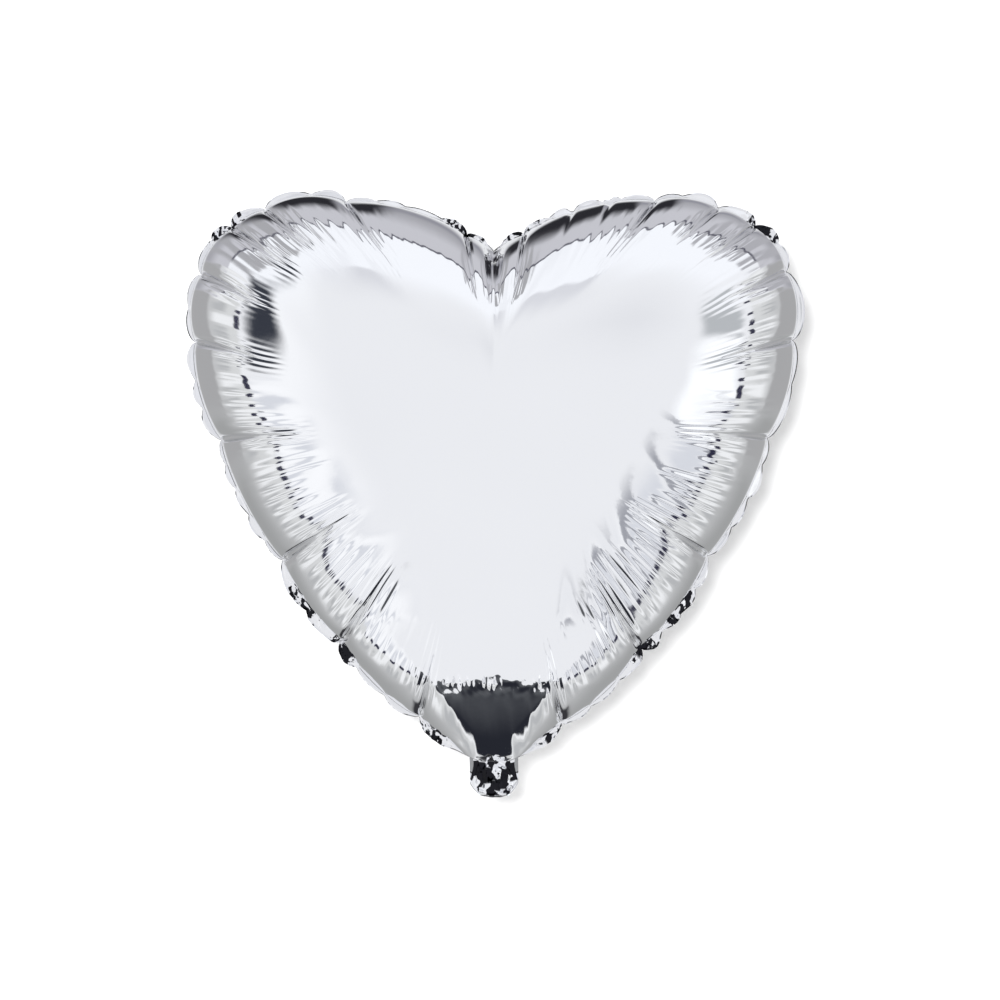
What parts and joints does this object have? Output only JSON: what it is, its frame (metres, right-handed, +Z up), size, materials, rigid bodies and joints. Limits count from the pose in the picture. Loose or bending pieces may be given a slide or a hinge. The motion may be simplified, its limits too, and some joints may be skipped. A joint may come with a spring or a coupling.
{
  "type": "heart foil balloon",
  "caption": "Inflated heart-shaped foil balloon with a gathered welded edge, a self-closing valve and its filling tail folded up behind the tip.",
  "frame": {"origin": "tying point: the middle of the neck where the heart's tip runs into it", "axes": "+Z up from the neck to the lobes, +X to the right seen from the front, +Y to the back; the front faces -Y"},
  "size_m": [0.3686, 0.1722, 0.3609],
  "materials": {
    "foil": "mirror-bright silver foil, wrinkled at the edge",
    "welded_foil": "satin silver, heat welded",
    "clear_film": "thin translucent film"
  },
  "bodies": {
    "balloon": {"front_panel": "foil", "rear_panel": "foil", "edge_seal": "welded_foil", "valve_front_film": "clear_film", "valve_rear_film": "clear_film"},
    "valve_flap": {"valve_flap": "clear_film"},
    "tail": {"tail_rear_film": "foil", "tail_front_film": "foil", "tail_seal_left": "welded_foil", "tail_seal_right": "welded_foil", "tail_valve_rear_film": "clear_film", "tail_valve_front_film": "clear_film"}
  },
  "joints": [
    {"name": "neck_fold", "type": "hinge", "parent": "balloon", "child": "tail", "pos_m": [0, 0.001, -0.01765], "axis": [-1, 0, 0], "range_deg": [0, 152]},
    {"name": "valve_lift", "type": "hinge", "parent": "balloon", "child": "valve_flap", "pos_m": [0, 0.00003, 0.012], "axis": [-1, 0, 0], "range_deg": [0, 6], "stiffness_Nm_per_rad": 0.0001}
  ]
}
